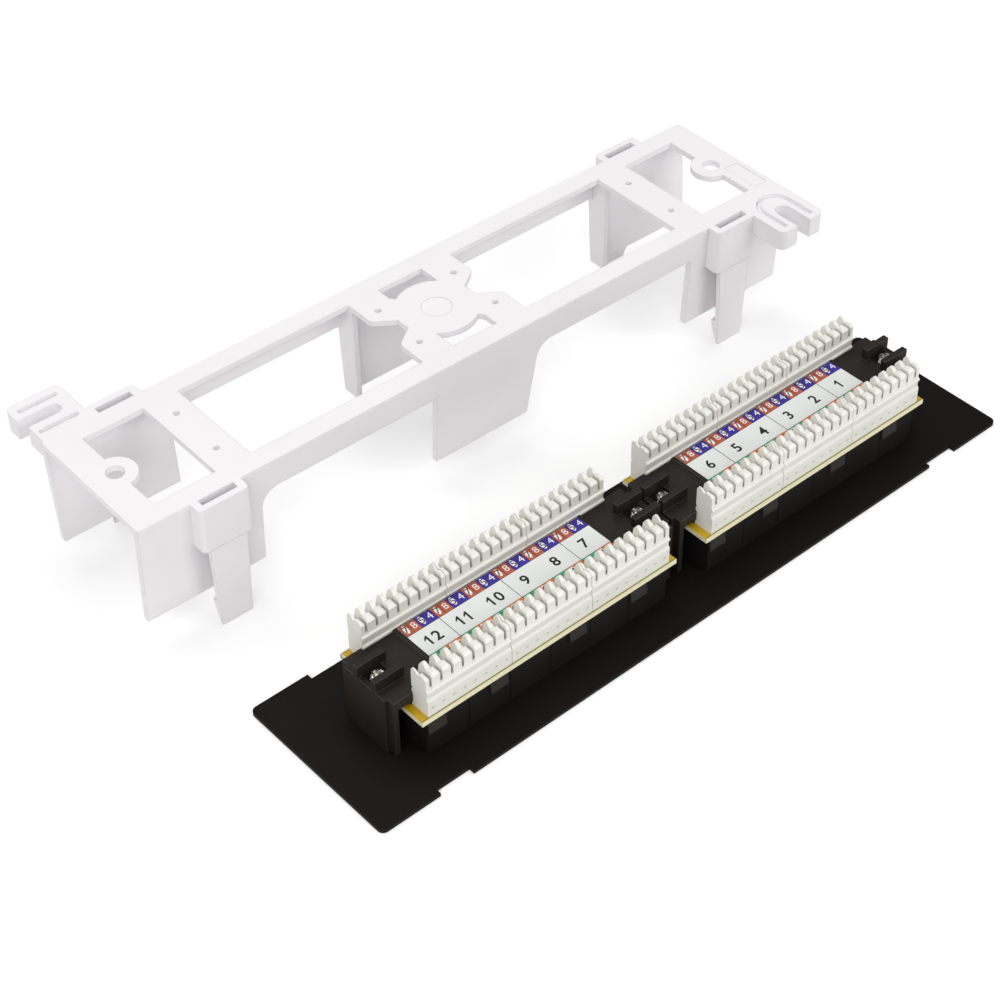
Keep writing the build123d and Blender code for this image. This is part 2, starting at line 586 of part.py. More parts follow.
# The whole bracket, one white moulding
top_plane = Plane.XY.offset(BRACKET_HEIGHT)
with BuildPart() as bracket:
    with BuildSketch(Plane.XY.offset(BRACKET_HEIGHT - BRACKET_TOP_THICKNESS)):
        RectangleRounded(BRACKET_LENGTH, 2 * BRACKET_HALF_WIDTH, BRACKET_CORNER)
        for end in (-1, 1):
            with Locations((end * (END_WINDOW_IN + END_WINDOW_OUT) / 2, 0)):
                Rectangle(END_WINDOW_OUT - END_WINDOW_IN, 2 * WINDOW_HALF, mode=Mode.SUBTRACT)
            with Locations((end * BOSS_X, 0)):
                Circle(BOSS_RADIUS)
                Circle(BOSS_HOLE_RADIUS, mode=Mode.SUBTRACT)
            with BuildLine(mode=Mode.PRIVATE) as window_line:
                FilletPolyline(
                    (end * LONG_WINDOW_OUT, WINDOW_HALF),
                    (end * SPIDER_HALF, WINDOW_HALF),
                    (end * SPIDER_HALF, SPIDER_PAD_EDGE),
                    (end * SPIDER_WAIST, SPIDER_WAIST_HALF),
                    (end * SPIDER_WAIST, -SPIDER_WAIST_HALF),
                    (end * SPIDER_HALF, -SPIDER_PAD_EDGE),
                    (end * SPIDER_HALF, -WINDOW_HALF),
                    (end * LONG_WINDOW_OUT, -WINDOW_HALF),
                    radius=(0.3, SPIDER_ROUND, 0.6, 0.6, SPIDER_ROUND, 0.3),
                )
                Line((end * LONG_WINDOW_OUT, -WINDOW_HALF), (end * LONG_WINDOW_OUT, WINDOW_HALF))
            make_face(window_line.line.edges(), mode=Mode.SUBTRACT)
        for turn in (-1, 1):
            Polygon(
                (-turn * CENTRE_WINDOW_HALF, turn * WINDOW_HALF),
                (-turn * CENTRE_WINDOW_HALF, turn * (CENTRE_WINDOW_START + CENTRE_WINDOW_CUT[1])),
                (turn * (CENTRE_WINDOW_CUT[0] - CENTRE_WINDOW_HALF), turn * CENTRE_WINDOW_START),
                (turn * CENTRE_WINDOW_HALF, turn * CENTRE_WINDOW_START),
                (turn * CENTRE_WINDOW_HALF, turn * WINDOW_HALF),
                align=None,
                mode=Mode.SUBTRACT,
            )
        Circle(SPIDER_DISC)
        with Locations(
            [
                (x * end, y)
                for x in (CROSS_RAIL_X, SPIDER_PILOT_X)
                for end in (-1, 1)
                for y in (-PILOT_Y, PILOT_Y)
            ]
        ):
            Circle(PILOT_RADIUS, mode=Mode.SUBTRACT)
    extrude(amount=BRACKET_TOP_THICKNESS)
    add(wall_builder.part)
    add(mirror(wall_builder.part, about=Plane.XZ, mode=Mode.PRIVATE))
    add(flange_builder.part)
    for end in (-1, 1):
        for turn in (0, 180):
            add(arm_builder.part.moved(Location((end * ARM_X, 0, 0), (0, 0, turn))))
            add(hook_builder.part.moved(Location((end * ARM_X, 0, 0), (0, 0, turn))))
    # Ears with their slots and grooves: the left one has a shorter prong next to the wall
    with BuildSketch(Plane.XY.offset(BRACKET_HEIGHT - EAR_THICKNESS)):
        with Locations((LEFT_EAR_OUT, EAR_ROOT)):
            RectangleRounded(
                LEFT_EAR_LENGTH, LEFT_EAR_Y - EAR_ROOT, EAR_CORNER, align=(Align.MIN, Align.MIN)
            )
        with Locations((LEFT_EAR_OUT, EAR_ROOT)):
            Rectangle(
                LEFT_EAR_STEP, LEFT_SLOT_Y - EAR_ROOT, align=(Align.MIN, Align.MIN), mode=Mode.SUBTRACT
            )
        with Locations((BRACKET_END, -EAR_ROOT)):
            RectangleRounded(
                RIGHT_EAR_LENGTH, -RIGHT_EAR_Y - EAR_ROOT, EAR_CORNER, align=(Align.MAX, Align.MAX)
            )
        with Locations((LEFT_EAR_OUT + LEFT_SLOT_LENGTH, LEFT_SLOT_Y)):
            SlotCenterPoint(
                (-LEFT_SLOT_LENGTH, 0),
                (-LEFT_SLOT_WIDTH / 2, 0),
                LEFT_SLOT_WIDTH,
                mode=Mode.SUBTRACT,
            )
        with Locations((RIGHT_SLOT_X, RIGHT_SLOT_ROOT)):
            SlotCenterPoint(
                (0, RIGHT_EAR_Y - RIGHT_SLOT_ROOT),
                (0, -RIGHT_SLOT_WIDTH / 2),
                RIGHT_SLOT_WIDTH,
                mode=Mode.SUBTRACT,
            )
    extrude(amount=EAR_THICKNESS)
    with BuildSketch(top_plane):
        for offset_y in LEFT_GROOVES:
            with Locations((LEFT_EAR_OUT + LEFT_EAR_LENGTH / 2, LEFT_SLOT_Y + offset_y)):
                SlotOverall(LEFT_GROOVE_LENGTH, GROOVE_WIDTH)
        with BuildLine():
            groove_left = Line(
                (RIGHT_SLOT_X - RIGHT_GROOVE_OFFSET, RIGHT_EAR_Y + GROOVE_INSET),
                (RIGHT_SLOT_X - RIGHT_GROOVE_OFFSET, RIGHT_GROOVE_ROOT),
            )
            groove_bend = TangentArc(
                groove_left @ 1,
                (RIGHT_SLOT_X + RIGHT_GROOVE_OFFSET, RIGHT_GROOVE_ROOT),
                tangent=(0, 1),
            )
            Line(groove_bend @ 1, (RIGHT_SLOT_X + RIGHT_GROOVE_OFFSET, RIGHT_EAR_Y + GROOVE_INSET))
        trace(line_width=GROOVE_WIDTH)
    extrude(amount=-GROOVE_DEPTH, mode=Mode.SUBTRACT)
    with BuildSketch(top_plane):
        Circle(HUB_RADIUS)
    extrude(amount=-HUB_RECESS, mode=Mode.SUBTRACT)
    with BuildSketch(top_plane):
        with Locations((BRACKET_END - MARK_INSET, MARK_Y)):
            Rectangle(MARK_LENGTH, MARK_WIDTH)
    extrude(amount=-MARK_RECESS, mode=Mode.SUBTRACT)
bracket_place = Location((BRACKET_X, BRACKET_Y, 0), (0, 0, BRACKET_TURN))
keep(bracket.part, "standoff_bracket", bracket_place)
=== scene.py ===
# %% [markdown]
# # A small vertical patch panel and its stand-off bracket
# The metal plate lies face down, so its punch-down side is up. The white bracket that clips onto
# the plate's notches stands behind it by itself. Everything solid comes in as a frame of finished
# nodes, in metres. This script gives each surface its finish, adds the print on the labels, and
# sets up the studio.

# %% Load the frame
import math

import bmesh
import bpy
from mathutils import Matrix, Vector


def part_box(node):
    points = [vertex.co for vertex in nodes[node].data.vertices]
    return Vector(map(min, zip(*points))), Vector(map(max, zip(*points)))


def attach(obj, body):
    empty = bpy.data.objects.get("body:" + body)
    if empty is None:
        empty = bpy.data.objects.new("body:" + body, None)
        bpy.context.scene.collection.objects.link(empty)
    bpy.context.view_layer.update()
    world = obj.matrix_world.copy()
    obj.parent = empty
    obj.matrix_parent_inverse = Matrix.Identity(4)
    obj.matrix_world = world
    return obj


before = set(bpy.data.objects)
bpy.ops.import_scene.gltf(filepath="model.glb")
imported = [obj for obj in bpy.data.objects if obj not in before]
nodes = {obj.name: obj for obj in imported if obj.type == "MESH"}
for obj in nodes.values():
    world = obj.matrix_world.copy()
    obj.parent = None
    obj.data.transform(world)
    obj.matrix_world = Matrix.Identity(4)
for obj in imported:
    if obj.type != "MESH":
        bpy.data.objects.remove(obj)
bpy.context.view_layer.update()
MM = 0.001

# %% [markdown]
# ## Camera
# The picture was taken with a long lens from the front left, looking down by about 42 degrees.
# A camera can be aimed with a constraint, but here its matrix is built from the sight line, because
# the view is also rolled by less than one degree.

# %% Camera
CAMERA_PLACE = Vector((-0.35272, -0.34213, 0.47075))
SIGHT_AZIMUTH = math.radians(-40.708)
SIGHT_HEIGHT = math.radians(42.339)
ROLL = math.radians(-0.816)
SENSOR = 36.0
LENS = 80.94

backward = Vector((
    math.sin(SIGHT_AZIMUTH) * math.cos(SIGHT_HEIGHT),
    -math.cos(SIGHT_AZIMUTH) * math.cos(SIGHT_HEIGHT),
    math.sin(SIGHT_HEIGHT),
))
level_right = (-backward).cross(Vector((0, 0, 1))).normalized()
level_up = level_right.cross(-backward)
right = math.cos(ROLL) * level_right + math.sin(ROLL) * level_up
up = math.cos(ROLL) * level_up - math.sin(ROLL) * level_right
camera_data = bpy.data.cameras.new("camera")
camera_data.sensor_width = SENSOR
camera_data.lens = LENS
camera_data.clip_start = 10 * MM
camera = bpy.data.objects.new("camera", camera_data)
camera.matrix_world = Matrix((
    (right.x, up.x, backward.x, CAMERA_PLACE.x),
    (right.y, up.y, backward.y, CAMERA_PLACE.y),
    (right.z, up.z, backward.z, CAMERA_PLACE.z),
    (0, 0, 0, 1),
))
bpy.context.scene.collection.objects.link(camera)
bpy.context.scene.camera = camera
bpy.context.scene.view_settings.view_transform = "Standard"
print("camera height:", round(CAMERA_PLACE.z, 3), "m")

# %% [markdown]
# ## Node helpers
# A material is a small graph. These helpers add a node, set its sockets and make the links, so that
# each finish below reads as a short recipe.

# %% Helpers that add a node and start a material
def add_node(tree, kind, values=None, **settings):
    """Adds a node, sets its properties, and sets or links its sockets."""
    made = tree.nodes.new(kind)
    for name, value in settings.items():
        setattr(made, name, value)
    for name, value in (values or {}).items():
        if isinstance(value, bpy.types.NodeSocket):
            tree.links.new(value, made.inputs[name])
        else:
            made.inputs[name].default_value = value
    return made


def new_material(name):
    """An empty node material with its output node and object coordinates."""
    material = bpy.data.materials.new(name)
    material.use_nodes = True
    tree = material.node_tree
    tree.nodes.clear()
    output = tree.nodes.new("ShaderNodeOutputMaterial")
    where = tree.nodes.new("ShaderNodeTexCoord").outputs["Object"]
    return material, tree, output, where


def srgb(red, green, blue):
    """A colour as a screen shows it, turned into the linear numbers of a socket."""
    linear = [
        ((level / 255 + 0.055) / 1.055) ** 2.4 if level > 10 else level / 255 / 12.92
        for level in (red, green, blue)
    ]
    return (*linear, 1.0)


print("white is", srgb(255, 255, 255))

# %% [markdown]
# ## Mask helpers
# A mask is a number from 0 to 1 over the surface. Most masks here are sums on the place of a point or
# on the direction of its face, so each kind of sum gets a short name.

# %% Helpers that build masks and tones
def math_node(tree, operation, first, second=0.0):
    """One sum, with sockets or numbers as its terms."""
    return add_node(tree, "ShaderNodeMath", {0: first, 1: second}, operation=operation).outputs[0]


def ramp(tree, value, start, end, low=0.0, high=1.0):
    """Goes from low to high while the value goes from start to end, and stays level outside."""
    return add_node(tree, "ShaderNodeMapRange", {
        "Value": value, "From Min": start, "From Max": end, "To Min": low, "To Max": high,
    }).outputs["Result"]


def every(tree, *masks):
    """The product of several masks, which is white only where all of them are."""
    result = masks[0]
    for mask in masks[1:]:
        result = math_node(tree, "MULTIPLY", result, mask)
    return result


def strongest(tree, *masks):
    """The highest of several masks at each point."""
    result = masks[0]
    for mask in masks[1:]:
        result = math_node(tree, "MAXIMUM", result, mask)
    return result


def blend(tree, mask, first, second):
    """Goes from the first colour to the second where the mask goes from 0 to 1."""
    return add_node(tree, "ShaderNodeMix", {0: mask, 6: first, 7: second}, data_type="RGBA").outputs[2]


def xyz(tree, vector):
    """The three parts of a place or a direction."""
    return add_node(tree, "ShaderNodeSeparateXYZ", {"Vector": vector}).outputs


def face_direction(tree):
    """The direction that the flat face itself points in."""
    return add_node(tree, "ShaderNodeNewGeometry").outputs["True Normal"]


print("mask helpers ready: ramp, every, strongest, blend")

# %% [markdown]
# ## A shared effect: moulded skin
# No moulded or painted surface is one flat colour. Slow clouds shift its tone a little, and a fine
# grain breaks up the gloss and gives the skin some relief. The group is built once and each material
# sets its own amounts. It puts out a colour, a roughness and a height.

# %% Group for a moulded or painted skin
CLOUD_LIMITS = (0.3, 0.7)
GRAIN_MIDDLE = 0.5


def make_skin_group():
    group = bpy.data.node_groups.new("moulded_skin", "ShaderNodeTree")
    face = group.interface
    face.new_socket("Vector", in_out="INPUT", socket_type="NodeSocketVector")
    for name in ("Color", "Second Color"):
        face.new_socket(name, in_out="INPUT", socket_type="NodeSocketColor")
    for name, value in (
        ("Cloud Scale", 40.0),
        ("Grain Scale", 3000.0),
        ("Roughness", 0.4),
        ("Rough Spread", 0.1),
    ):
        face.new_socket(name, in_out="INPUT", socket_type="NodeSocketFloat").default_value = value
    face.new_socket("Color", in_out="OUTPUT", socket_type="NodeSocketColor")
    face.new_socket("Roughness", in_out="OUTPUT", socket_type="NodeSocketFloat")
    face.new_socket("Height", in_out="OUTPUT", socket_type="NodeSocketFloat")
    inside = group.nodes.new("NodeGroupInput").outputs
    outside = group.nodes.new("NodeGroupOutput").inputs
    clouds = add_node(group, "ShaderNodeTexNoise", {
        "Vector": inside["Vector"], "Scale": inside["Cloud Scale"], "Detail": 3.0, "Roughness": 0.55,
    })
    cloud_mask = ramp(group, clouds.outputs["Fac"], *CLOUD_LIMITS)
    group.links.new(blend(group, cloud_mask, inside["Color"], inside["Second Color"]), outside["Color"])
    grain = add_node(group, "ShaderNodeTexNoise", {
        "Vector": inside["Vector"], "Scale": inside["Grain Scale"], "Detail": 2.0, "Roughness": 0.5,
    }).outputs["Fac"]
    swing = every(group, math_node(group, "SUBTRACT", grain, GRAIN_MIDDLE), inside["Rough Spread"])
    group.links.new(math_node(group, "ADD", swing, inside["Roughness"]), outside["Roughness"])
    group.links.new(grain, outside["Height"])
    return group


skin_group = make_skin_group()
print("group sockets:", [item.name for item in skin_group.interface.items_tree])

# %% [markdown]
# ## A shared effect: painted edge highlights
# On dark plastic and paint a moulded edge catches a thin pale line of light. Here that line is a
# painted highlight in the colour. The Bevel node gives the direction that a rounded edge would have.
# Where it differs from the flat face's own direction there is an edge, and the difference becomes a
# mask. On this panel the line is clear only on upper edges towards the front and the left, so the
# rounded direction weighs the mask.

# %% Group for painted edge highlights
MATCH_LIMITS = (0.98, 0.8)
UPPER_LIMITS = (0.1, 0.4)
AHEAD_LIMITS = (0.1, -0.3)
FAINT_EDGE = 0.25
BEVEL_SAMPLES = 4


def make_edge_highlight_group():
    group = bpy.data.node_groups.new("painted_edge_highlight", "ShaderNodeTree")
    face = group.interface
    for name, value in (("Radius", 0.2 * MM), ("Strength", 1.0)):
        face.new_socket(name, in_out="INPUT", socket_type="NodeSocketFloat").default_value = value
    face.new_socket("Mask", in_out="OUTPUT", socket_type="NodeSocketFloat")
    inside = group.nodes.new("NodeGroupInput").outputs
    outside = group.nodes.new("NodeGroupOutput").inputs
    rounded = add_node(group, "ShaderNodeBevel", {
        "Radius": inside["Radius"],
    }, samples=BEVEL_SAMPLES).outputs["Normal"]
    match = add_node(group, "ShaderNodeVectorMath", {
        0: rounded, 1: face_direction(group),
    }, operation="DOT_PRODUCT").outputs["Value"]
    lean = xyz(group, rounded)
    sideways = math_node(group, "ADD", lean["X"], lean["Y"])
    mask = every(
        group,
        ramp(group, match, *MATCH_LIMITS),
        ramp(group, lean["Z"], *UPPER_LIMITS, low=FAINT_EDGE),
        ramp(group, sideways, *AHEAD_LIMITS, low=FAINT_EDGE),
        inside["Strength"],
    )
    group.links.new(mask, outside["Mask"])
    return group


edge_highlight_group = make_edge_highlight_group()
print("edge group nodes:", len(edge_highlight_group.nodes))

# %% [markdown]
# ## Plastic, paint and metal
# Nearly every surface here is a skin of two close tones: plastic, powder coat or plated metal. One
# recipe makes them all. A soft-edge normal rounds the sharp moulded edges in the light, because a
# real mould never leaves a knife edge. A finish may also have a mark of painted light or painted
# shade, which is a colour and a function that builds its mask, and a colour for a painted highlight
# on its edges.

# %% Recipe for a skinned material
RELIEF_DEPTH = 0.2 * MM


def skinned(name, color, second, roughness=0.4, spread=0.1, cloud=40.0, grain=3000.0, bump=0.02,
            edge=0.0, specular=0.5, metallic=0.0, edge_highlight=None, painted_mark=None):
    """A skin of two close tones; the edge colour is a painted highlight, and the mark is a colour and a
    mask builder for painted light or painted shade.
    """
    material, tree, output, where = new_material(name)
    skin = add_node(tree, "ShaderNodeGroup", node_tree=skin_group)
    for socket, value in (
        ("Color", color), ("Second Color", second), ("Cloud Scale", cloud), ("Grain Scale", grain),
        ("Roughness", roughness), ("Rough Spread", spread),
    ):
        skin.inputs[socket].default_value = value
    tree.links.new(where, skin.inputs["Vector"])
    relief = add_node(tree, "ShaderNodeBump", {
        "Height": skin.outputs["Height"], "Strength": bump, "Distance": RELIEF_DEPTH,
    })
    if edge > 0:
        soft = add_node(tree, "ShaderNodeBevel", {"Radius": edge}, samples=BEVEL_SAMPLES)
        tree.links.new(soft.outputs["Normal"], relief.inputs["Normal"])
    tone = skin.outputs["Color"]
    # A mark is painted light or painted shade laid over the skin's colour.
    if painted_mark:
        painted_color, build_mask = painted_mark
        tone = blend(tree, build_mask(tree, where), tone, painted_color)
    # The edge colour is a painted highlight on upper edges towards the front and the left.
    if edge_highlight:
        highlight_node = add_node(tree, "ShaderNodeGroup", node_tree=edge_highlight_group)
        highlight_node.inputs["Radius"].default_value = edge
        tone = blend(tree, highlight_node.outputs["Mask"], tone, edge_highlight)
    shader = add_node(tree, "ShaderNodeBsdfPrincipled", {
        "Base Color": tone, "Roughness": skin.outputs["Roughness"],
        "Normal": relief.outputs["Normal"], "Specular IOR Level": specular, "Metallic": metallic,
    })
    tree.links.new(shader.outputs["BSDF"], output.inputs["Surface"])
    return material


def dress(prefix, material):
    """Gives a material to each node whose name starts with the prefix."""
    names = [name for name in nodes if name.startswith(prefix)]
    for name in names:
        node = nodes[name]
        if not node.material_slots:
            node.data.materials.append(material)
        for place in node.material_slots:
            place.material = material
    print(prefix, "->", material.name, len(names))


# %% [markdown]
# ## Bracket
# The bracket is one white moulding with a satin skin. Its clouds are wide, because a large moulding
# cools unevenly, and its gloss is held down, so that its upper faces stay a tone under white.

# %% Bracket
white_satin = skinned("white_satin_plastic", srgb(245, 242, 244), srgb(240, 237, 239), roughness=0.42,
                      cloud=25.0, bump=0.03, edge=0.4 * MM, specular=0.35)
dress("standoff_bracket", white_satin)

# %% [markdown]
# ## Punch-down blocks
# The ivory blocks carry a small mould dimple under every slot, bands along their long faces that are
# a tone darker than the ridges between them, and slots that are grimy where the wires' jackets rub.
# A painted picture could hold all this, but sums on the place of a point stay sharp at any size.
# Dimples and slots repeat with the contacts, so their masks fold the x axis: the distance from a
# module's middle, turned into the distance from the nearest slot.

# %% Measures of the marks on the blocks
MODULE_CENTRE = 54.3 * MM
CONTACT_PITCH = 3.81 * MM
DIMPLE_HEIGHT = 19.4 * MM
DIMPLE_RADIUS = 0.95 * MM
DIMPLE_CORE = 0.2
DIMPLE_SQUEEZE = 1.4
DIMPLE_TONE = 0.5
FOOT_HIGH = 21.6 * MM
FOOT_TONE = 0.1
GROOVE_LOW = 22.7 * MM
GROOVE_HIGH = 24.9 * MM
GROOVE_TONE = 0.2
UPPER_TONE = 0.1
SLOT_HALF = 0.43 * MM
SLOT_LOW = 24.9 * MM
SLOT_HIGH = 30.4 * MM
SLOT_TONES = (0.85, 0.1)
MOUTH_LOW = 26.2 * MM
MOUTH_REACH = 1.1 * MM
MOUTH_TONE = 0.3
LONG_FACE = 0.7
SIDE_FACE = 0.5
UPPER_FACE = 0.2
print("marks for slots every", round(CONTACT_PITCH / MM, 2), "mm")

# %% Masks of the marks
def from_slot(tree, x):
    """Distance in x from the nearest slot."""
    from_middle = math_node(tree, "SUBTRACT", math_node(tree, "ABSOLUTE", x), MODULE_CENTRE)
    shifted = math_node(tree, "SUBTRACT", from_middle, CONTACT_PITCH / 2)
    return math_node(tree, "PINGPONG", shifted, CONTACT_PITCH / 2)


def dimple_shade_mask(tree, distance, height):
    """Painted shade of a dimple: a soft spot under every slot, wider than it is high."""
    drop = math_node(tree, "SUBTRACT", height, DIMPLE_HEIGHT)
    drop = math_node(tree, "MULTIPLY", drop, DIMPLE_SQUEEZE)
    squares = math_node(tree, "ADD", every(tree, distance, distance), every(tree, drop, drop))
    reach = math_node(tree, "SQRT", squares)
    return ramp(tree, reach, DIMPLE_CORE * DIMPLE_RADIUS, DIMPLE_RADIUS, DIMPLE_TONE, 0.0)


def band_shade_mask(tree, height):
    """Painted shade: even tones on the foot and in the groove, and a slow one up towards the teeth."""
    foot = math_node(tree, "LESS_THAN", height, FOOT_HIGH)
    groove = every(tree, math_node(tree, "GREATER_THAN", height, GROOVE_LOW),
                   math_node(tree, "LESS_THAN", height, GROOVE_HIGH))
    upper = ramp(tree, height, GROOVE_HIGH, SLOT_HIGH, 0.0, UPPER_TONE)
    return strongest(tree, every(tree, foot, FOOT_TONE), every(tree, groove, GROOVE_TONE), upper)


def slot_shade_mask(tree, distance, height, outward):
    """Painted shade on the walls of the slots, thickest at their bottom."""
    near = math_node(tree, "LESS_THAN", distance, SLOT_HALF)
    sideways = math_node(tree, "LESS_THAN", outward, SIDE_FACE)
    above = math_node(tree, "GREATER_THAN", height, SLOT_LOW)
    return every(tree, near, sideways, above, ramp(tree, height, SLOT_LOW, SLOT_HIGH, *SLOT_TONES))


def mouth_shade_mask(tree, distance, height, upward):
    """A faint painted shade on the upper faces beside each slot."""
    shade = ramp(tree, distance, SLOT_HALF, MOUTH_REACH, MOUTH_TONE, 0.0)
    lifted = math_node(tree, "GREATER_THAN", upward, UPPER_FACE)
    return every(tree, shade, lifted, math_node(tree, "GREATER_THAN", height, MOUTH_LOW))


def block_painted_shade(tree, where):
    """All the painted shade of a block in one mask."""
    place = xyz(tree, where)
    facing = xyz(tree, face_direction(tree))
    distance = from_slot(tree, place["X"])
    outward = math_node(tree, "ABSOLUTE", facing["Y"])
    on_long_faces = strongest(tree, dimple_shade_mask(tree, distance, place["Z"]), band_shade_mask(tree, place["Z"]))
    return strongest(
        tree,
        every(tree, on_long_faces, math_node(tree, "GREATER_THAN", outward, LONG_FACE)),
        slot_shade_mask(tree, distance, place["Z"], outward),
        mouth_shade_mask(tree, distance, place["Z"], facing["Z"]),
    )


print("marks ready: dimples, bands, slots and mouths")

# %% Blocks
# Its mark is painted shade in the dimples, bands, slots and slot mouths.
ivory = skinned("ivory_plastic", srgb(238, 237, 230), srgb(232, 231, 222), roughness=0.38,
                cloud=60.0, bump=0.03, edge=0.18 * MM, painted_mark=(srgb(120, 112, 102), block_painted_shade))
dress("punch_down_block", ivory)

# %% [markdown]
# ## Covers, sockets and plate
# Three black surfaces lie side by side, and none of them is the same black. The covers are a warm
# fine-grained plastic. The sockets are smoother, and lugs that stand out from their front get painted
# light, a tone lighter than the front in the board's shade. The plate has the flat, grainy look of
# powder coat. All three have a painted highlight on upper edges towards the front and the left.

# %% Covers, sockets and plate
SOCKET_FRONT = -16.45 * MM


def lug_painted_light(tree, where):
    """Painted light: white on the lugs that stand out from the sockets' front, out of the board's shade.
    """
    return math_node(tree, "LESS_THAN", xyz(tree, where)["Y"], SOCKET_FRONT)


# Each edge colour here is a painted highlight on upper edges towards the front and the left.
cover_black = skinned("cover_black_plastic", srgb(43, 37, 32), srgb(35, 31, 28), roughness=0.5,
                      cloud=80.0, grain=5000.0, bump=0.12, edge=0.28 * MM, specular=0.15,
                      edge_highlight=srgb(112, 105, 99))
# Its mark is painted light on the lugs.
socket_black = skinned("socket_black_plastic", srgb(32, 28, 28), srgb(25, 22, 22), roughness=0.45,
                       cloud=90.0, bump=0.05, edge=0.15 * MM, specular=0.15,
                       edge_highlight=srgb(48, 45, 44), painted_mark=(srgb(46, 42, 39), lug_painted_light))
plate_paint = skinned("black_powder_coat", srgb(26, 22, 20), srgb(21, 18, 17), roughness=0.5,
                      cloud=12.0, grain=1500.0, bump=0.08, edge=0.2 * MM, specular=0.06,
                      edge_highlight=srgb(52, 48, 46))
dress("cover_", cover_black)
dress("jack_", socket_black)
dress("face_plate", plate_paint)

# %% [markdown]
# ## Metals
# The sockets' spring wires are plated with gold, the clips in the blocks and the posts are tinned,
# and the screws are bright nickel. All use the same skin with Metallic at 1, so that its two tones
# become the colours of their reflections.

# %% Metals
contact_gold = skinned("gold_plated_wire", srgb(226, 184, 105), srgb(206, 160, 84), roughness=0.25,
                       cloud=400.0, bump=0.02, metallic=1.0)
clip_metal = skinned("tinned_clip", srgb(168, 162, 150), srgb(140, 134, 124), roughness=0.35,
                     cloud=500.0, bump=0.03, metallic=1.0)
bright_screw = skinned("nickel_screw", srgb(236, 234, 230), srgb(206, 203, 198), roughness=0.16,
                       cloud=300.0, grain=1400.0, bump=0.1, edge=0.15 * MM, metallic=1.0)
dress("jack_contacts", contact_gold)
dress("contact_clips", clip_metal)
dress("module_screws", bright_screw)
dress("module_posts", clip_metal)

# %% [markdown]
# ## Circuit board
# The board is glass cloth in resin under a yellow mask. Its sawn edge is paler than its face, so the
# face's direction chooses between the two colours. Along its long edges, beside the blocks, a thin
# olive line is painted shadow of the blocks, with a pale rim beyond it.

# %% Board material
BLOCK_SHADOW_EDGE = 17.15 * MM
PALE_RIM = 17.55 * MM
WEAVE_SCALE = 900.0


def make_board():
    material, tree, output, where = new_material("yellow_board")
    weave = add_node(tree, "ShaderNodeTexNoise", {
        "Vector": where, "Scale": WEAVE_SCALE, "Detail": 2.0,
    }).outputs["Fac"]
    across = math_node(tree, "ABSOLUTE", xyz(tree, where)["Y"])
    tone = blend(tree, weave, srgb(206, 170, 14), srgb(188, 150, 4))
    # Painted shadow of the blocks: a thin olive line along the long edges.
    tone = blend(tree, math_node(tree, "GREATER_THAN", across, BLOCK_SHADOW_EDGE), tone, srgb(132, 124, 62))
    tone = blend(tree, math_node(tree, "GREATER_THAN", across, PALE_RIM), tone, srgb(226, 218, 172))
    sawn = blend(tree, weave, srgb(246, 240, 214), srgb(232, 222, 180))
    flat = math_node(tree, "ABSOLUTE", xyz(tree, face_direction(tree))["Z"])
    relief = add_node(tree, "ShaderNodeBump", {
        "Height": weave, "Strength": 0.05, "Distance": RELIEF_DEPTH,
    })
    shader = add_node(tree, "ShaderNodeBsdfPrincipled", {
        "Base Color": blend(tree, flat, sawn, tone), "Roughness": 0.4, "Normal": relief.outputs["Normal"],
    })
    tree.links.new(shader.outputs["BSDF"], output.inputs["Surface"])
    return material


dress("circuit_board", make_board())

# %% [markdown]
# ## Label print
# A label is white film with a strip of colour cells along each long edge, one cell per wire, and a
# port number in each of six fields. An image could hold the print, but thin flakes of ink stay sharp
# and need no picture. The cells lie on a dark ground that shows between them as fine lines. Wires
# with a white stripe carry a pale oval under their digit.

# %% Film and inks
def ink(name, color, second):
    return skinned(name, color, second, roughness=0.5, spread=0.08, cloud=700.0, bump=0.0, specular=0.3)


film = skinned("label_film", srgb(229, 231, 229), srgb(223, 225, 223), roughness=0.45, cloud=120.0,
               bump=0.02, specular=0.3)
inks = {
    "white": ink("white_ink", srgb(243, 240, 236), srgb(234, 231, 228)),
    "brown": ink("brown_ink", srgb(184, 96, 70), srgb(170, 82, 60)),
    "blue": ink("blue_ink", srgb(58, 50, 160), srgb(46, 38, 140)),
    "green": ink("green_ink", srgb(72, 172, 122), srgb(56, 152, 104)),
    "orange": ink("orange_ink", srgb(216, 128, 56), srgb(204, 108, 44)),
    "dark": ink("dark_ink", srgb(34, 28, 34), srgb(28, 24, 28)),
    "maroon": ink("line_ink", srgb(78, 36, 40), srgb(62, 28, 36)),
}
ink_order = list(inks)
dress("label_", film)

# %% Measures of the label
PORTS = 6
CELLS = 4
FIELD = 11.4 * MM
CELL = FIELD / CELLS
REAR, FRONT = 1, -1
STRIP_INNER = {REAR: 5.0 * MM, FRONT: 4.2 * MM}
STRIP_OUTER = 9.7 * MM
DIGIT_MIDDLE = {REAR: 7.55 * MM, FRONT: -6.3 * MM}
DIGIT_HEIGHT = 2.5 * MM
NUMERAL_HEIGHT = 3.9 * MM
NUMERAL_STEP = 2.9 * MM
NUMERAL_WEIGHT = 0.08 * MM
NUMERAL_SHIFT = (-0.4 * MM, 0.35 * MM)
OVAL_HALF_WIDTH = 0.78 * MM
OVAL_HALF_HEIGHT = 1.7 * MM
LINE_WIDTH = 0.2 * MM
INK_THICKNESS = 0.02 * MM
label_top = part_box("label_left")[1][2]
GROUND_LAYER, CELL_LAYER, OVAL_LAYER, DIGIT_LAYER = (label_top + n * INK_THICKNESS for n in range(4))
print("label top:", round(label_top / MM, 3), "mm")

